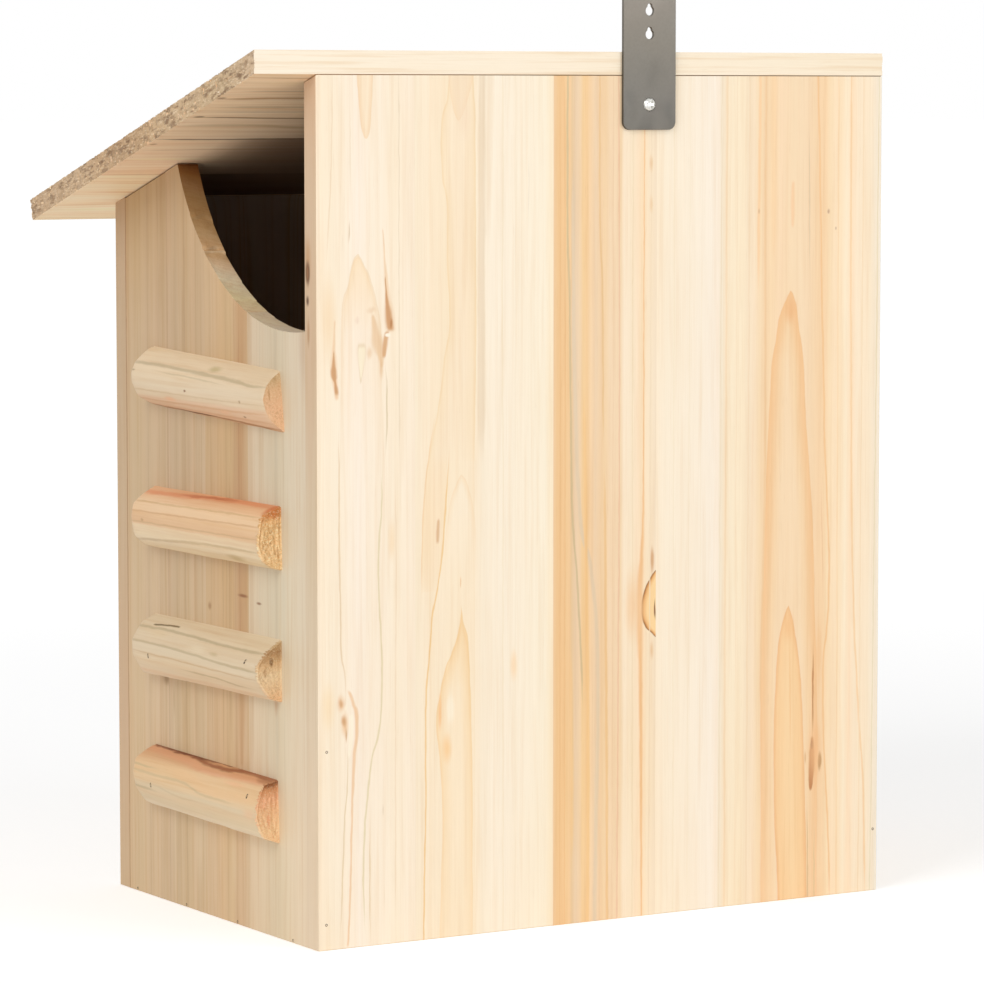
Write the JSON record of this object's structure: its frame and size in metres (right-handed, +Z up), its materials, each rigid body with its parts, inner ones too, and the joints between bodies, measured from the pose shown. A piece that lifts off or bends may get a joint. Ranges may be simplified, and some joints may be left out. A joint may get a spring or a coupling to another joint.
{
  "type": "bat box",
  "caption": "Lean-to wooden nest box of glued staves, with a wide round side mouth, half-round climbing rungs and a steel hanger strip with keyholes.",
  "frame": {"origin": "middle of the underside of the box body, on the plane it stands on", "axes": "+Z up, +Y out of the back wall that carries the hanger strip, +X out of the side wall that has the mouth and the rungs"},
  "size_m": [0.319, 0.2225, 0.41],
  "materials": {
    "fir_back": "planed bare fir",
    "fir_side": "planed bare fir",
    "fir_roof": "planed bare fir with sawn ends",
    "rung_wood": "hewn bare fir with sawn ends",
    "strip_steel": "dull galvanised",
    "screw_zinc": "bright zinc"
  },
  "bodies": {
    "root": {"back_wall_stave_1": "fir_back", "back_wall_stave_2": "fir_back", "back_wall_stave_3": "fir_back", "back_wall_stave_4": "fir_back", "back_wall_stave_5": "fir_back", "front_wall_stave_1": "fir_back", "front_wall_stave_2": "fir_back", "front_wall_stave_3": "fir_back", "front_wall_stave_4": "fir_back", "front_wall_stave_5": "fir_back", "mouth_wall_stave_1": "fir_side", "mouth_wall_stave_2": "fir_side", "mouth_wall_stave_3": "fir_side", "mouth_wall_stave_4": "fir_side", "closed_wall_stave_1": "fir_side", "closed_wall_stave_2": "fir_side", "closed_wall_stave_3": "fir_side", "closed_wall_stave_4": "fir_side", "floor_stave_1": "fir_back", "floor_stave_2": "fir_back", "floor_stave_3": "fir_back", "roof_stave_1": "fir_roof", "roof_stave_2": "fir_roof", "roof_stave_3": "fir_roof", "roof_stave_4": "fir_roof", "roof_stave_5": "fir_roof", "rung_1": "rung_wood", "rung_2": "rung_wood", "rung_3": "rung_wood", "rung_4": "rung_wood", "hanger_strip": "strip_steel", "hanger_screw": "screw_zinc"}
  },
  "joints": []
}
